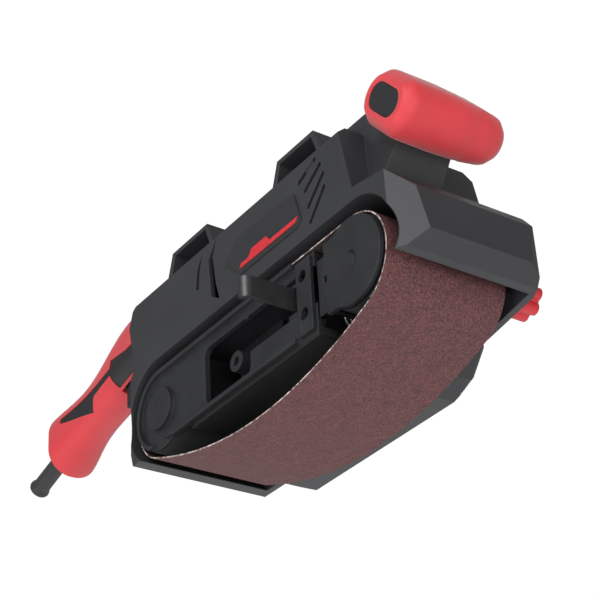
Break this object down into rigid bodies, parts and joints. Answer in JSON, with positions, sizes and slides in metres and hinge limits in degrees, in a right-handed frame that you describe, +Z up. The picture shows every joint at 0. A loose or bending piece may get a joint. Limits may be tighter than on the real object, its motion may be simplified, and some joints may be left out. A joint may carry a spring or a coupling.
{
  "type": "belt sander",
  "caption": "Handheld electric belt sander with its tension lever open and the abrasive belt slack, bar handle behind and cross grip in front.",
  "frame": {"origin": "on the surface under the slack belt, in the middle of the outline seen from above", "axes": "+X forward from handle to nose, +Y to the tool's left, +Z up"},
  "size_m": [0.4634, 0.1484, 0.155],
  "materials": {
    "housing_plastic": "matt charcoal moulded nylon with a fine texture",
    "red_rubber": "soft matt red overmould",
    "dark_rubber": "matt black rubber",
    "panel_plastic": "dark ribbed plastic",
    "abrasive": "brown-red grit on cloth",
    "cast_metal": "dark painted die casting",
    "steel": "turned steel",
    "dark_steel": "black oxide pressed steel",
    "laminations": "stacked electrical steel",
    "copper": "enamelled copper",
    "carbon": "carbon brush",
    "brass": "drawn brass",
    "cork": "cork and graphite pad",
    "badge_plastic": "satin dark badge",
    "red_plastic": "satin red plastic"
  },
  "bodies": {
    "housing": {"housing_right": "housing_plastic", "housing_left": "housing_plastic", "shell_screws": "steel", "abrasive_belt": "abrasive", "toothed_belt": "dark_rubber", "tension_spring": "steel", "lever_bracket": "cast_metal", "lever_pin": "steel", "belt_frame": "cast_metal", "platen": "steel", "platen_pad": "cork", "frame_screws": "steel", "front_grip": "red_rubber", "grip_inserts": "panel_plastic", "rear_grip": "red_rubber", "side_panels": "panel_plastic", "switch_block": "panel_plastic", "cord_boot": "dark_rubber", "stator": "laminations", "field_coils": "copper", "motor_bearings": "steel", "drive_bearings": "steel", "brush_holders": "brass", "brushes": "carbon", "bearing_plate": "cast_metal", "drive_cover": "housing_plastic", "cover_screws": "steel", "dust_port": "panel_plastic", "top_foot_rear": "housing_plastic", "top_foot_front": "housing_plastic", "badge": "badge_plastic", "badge_stripe": "red_plastic"},
    "lever": {"tension_lever": "dark_steel"},
    "carriage": {"roller_carriage": "cast_metal", "carriage_side_plate": "cast_metal"},
    "axle": {"front_axle": "steel"},
    "front_drum": {"front_roller": "cast_metal", "front_bearings": "steel"},
    "drive_drum": {"drive_roller": "cast_metal", "drive_sleeve": "dark_rubber", "drive_shaft": "steel", "driven_pulley": "panel_plastic"},
    "armature": {"armature_shaft": "steel", "armature_core": "laminations", "commutator": "copper", "fan": "panel_plastic", "motor_pulley": "steel"},
    "knob": {"tracking_knob": "red_plastic", "tracking_screw": "steel"},
    "trigger": {"trigger": "panel_plastic"},
    "lock": {"lock_button": "red_plastic"}
  },
  "joints": [
    {"name": "lever_turn", "type": "hinge", "parent": "housing", "child": "lever", "pos_m": [0.1212, -0.0338, 0.05202], "axis": [0, 0, 1], "range_deg": [-90, 0], "deforming": ["abrasive_belt"]},
    {"name": "roller_take_up", "type": "slide", "parent": "housing", "child": "carriage", "axis": [1, 0, 0], "range_m": [0, 0.005]},
    {"name": "axle_steer", "type": "hinge", "parent": "carriage", "child": "axle", "pos_m": [0.17359, -0.0428, 0.04702], "axis": [0, 0, 1], "range_deg": [-0.8, 0.8]},
    {"name": "front_roller_spin", "type": "hinge", "parent": "axle", "child": "front_drum", "pos_m": [0.17359, -0.0058, 0.04702], "axis": [0, 1, 0], "continuous": true},
    {"name": "drive_roller_spin", "type": "hinge", "parent": "housing", "child": "drive_drum", "pos_m": [-0.0078, -0.0058, 0.04702], "axis": [0, 1, 0], "continuous": true},
    {"name": "armature_spin", "type": "hinge", "parent": "housing", "child": "armature", "pos_m": [0.0922, -0.0058, 0.10702], "axis": [0, 1, 0], "continuous": true},
    {"name": "knob_turn", "type": "hinge", "parent": "housing", "child": "knob", "pos_m": [0.1882, 0.0432, 0.04602], "axis": [0, 1, 0], "range_deg": [-180, 180]},
    {"name": "trigger_pull", "type": "slide", "parent": "housing", "child": "trigger", "axis": [0, 0, 1], "range_m": [0, 0.004], "stiffness_N_per_m": 800, "springref_m": -0.002},
    {"name": "lock_press", "type": "slide", "parent": "housing", "child": "lock", "axis": [0, -1, 0], "range_m": [0, 0.003], "stiffness_N_per_m": 400, "springref_m": -0.001}
  ],
  "couplings": [
    {"joint": "lever_turn", "follows": "roller_take_up", "rad_per_m": -314.16},
    {"joint": "knob_turn", "follows": "axle_steer", "ratio": 224.99},
    {"joint": "front_roller_spin", "follows": "drive_roller_spin", "ratio": 1},
    {"joint": "armature_spin", "follows": "drive_roller_spin", "ratio": 2}
  ]
}
